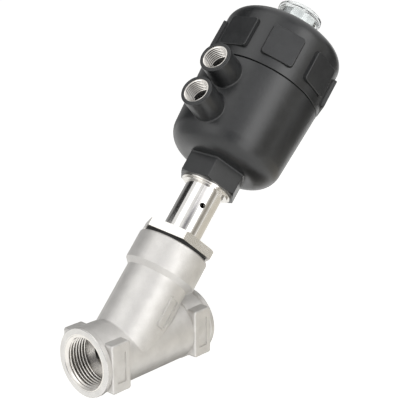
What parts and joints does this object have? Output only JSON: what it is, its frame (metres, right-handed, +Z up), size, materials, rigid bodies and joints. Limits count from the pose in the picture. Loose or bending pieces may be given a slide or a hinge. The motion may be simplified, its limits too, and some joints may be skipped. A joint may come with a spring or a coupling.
{
  "type": "angle seat valve",
  "caption": "Angle seat shut-off valve: cast Y body with threaded ports, slanted polished bonnet tube, turnable moulded piston actuator with air ports and clear sight cap.",
  "frame": {"origin": "centre of the inlet port's end face, on the flow axis", "axes": "+X along the flow axis towards the outlet port, +Z up, the actuator leans over the outlet in the XZ plane; +Y completes the right-handed frame"},
  "size_m": [0.1759, 0.0696, 0.1785],
  "materials": {
    "cast_stainless": "blasted satin",
    "turned_stainless": "machined bright",
    "polished_tube": "polished",
    "spring_steel": "satin",
    "black_polyamide": "satin moulded",
    "piston_polymer": "matt",
    "white_ptfe": "matt",
    "dark_elastomer": "matt",
    "marker_polymer": "gloss",
    "clear_polycarbonate": "clear gloss"
  },
  "bodies": {
    "valve": {"valve_body": "cast_stainless", "bonnet_gasket": "dark_elastomer", "bonnet_nut": "turned_stainless", "yoke_tube": "polished_tube", "lower_guide_bush": "white_ptfe", "packing_rings": "white_ptfe", "packing_support": "turned_stainless", "packing_follower": "turned_stainless", "packing_spring": "spring_steel", "upper_guide_bush": "white_ptfe", "stem_lip_seal": "dark_elastomer", "retaining_ring": "spring_steel"},
    "stem": {"valve_stem": "turned_stainless", "piston": "piston_polymer", "piston_seal": "dark_elastomer", "piston_guide_ring": "white_ptfe", "piston_nut": "turned_stainless", "position_indicator": "marker_polymer"},
    "plug": {"valve_plug": "turned_stainless", "plug_seal": "white_ptfe", "plug_screw": "turned_stainless"},
    "actuator": {"actuator_housing": "black_polyamide", "neck_bush": "turned_stainless", "air_port_insert_lower": "turned_stainless", "air_port_insert_upper": "turned_stainless", "actuator_cap": "black_polyamide", "outer_spring": "spring_steel", "inner_spring": "spring_steel", "sight_gasket": "dark_elastomer"},
    "sight_cap": {"sight_cap": "clear_polycarbonate"}
  },
  "joints": [
    {"name": "stem_lift", "type": "slide", "parent": "valve", "child": "stem", "axis": [0.682, 0, 0.7314], "range_m": [0, 0.0095], "stiffness_N_per_m": 12000, "springref_m": -0.02, "deforming": ["outer_spring", "inner_spring"]},
    {"name": "plug_swivel", "type": "hinge", "parent": "stem", "child": "plug", "pos_m": [0.03407, 0, 0.01134], "axis": [0.682, 0, 0.7314], "continuous": true},
    {"name": "actuator_turn", "type": "hinge", "parent": "valve", "child": "actuator", "pos_m": [0.08856, 0, 0.06977], "axis": [0.682, 0, 0.7314], "continuous": true},
    {"name": "sight_cap_lift", "type": "slide", "parent": "actuator", "child": "sight_cap", "axis": [0.682, 0, 0.7314], "range_m": [0, 0.02]}
  ]
}
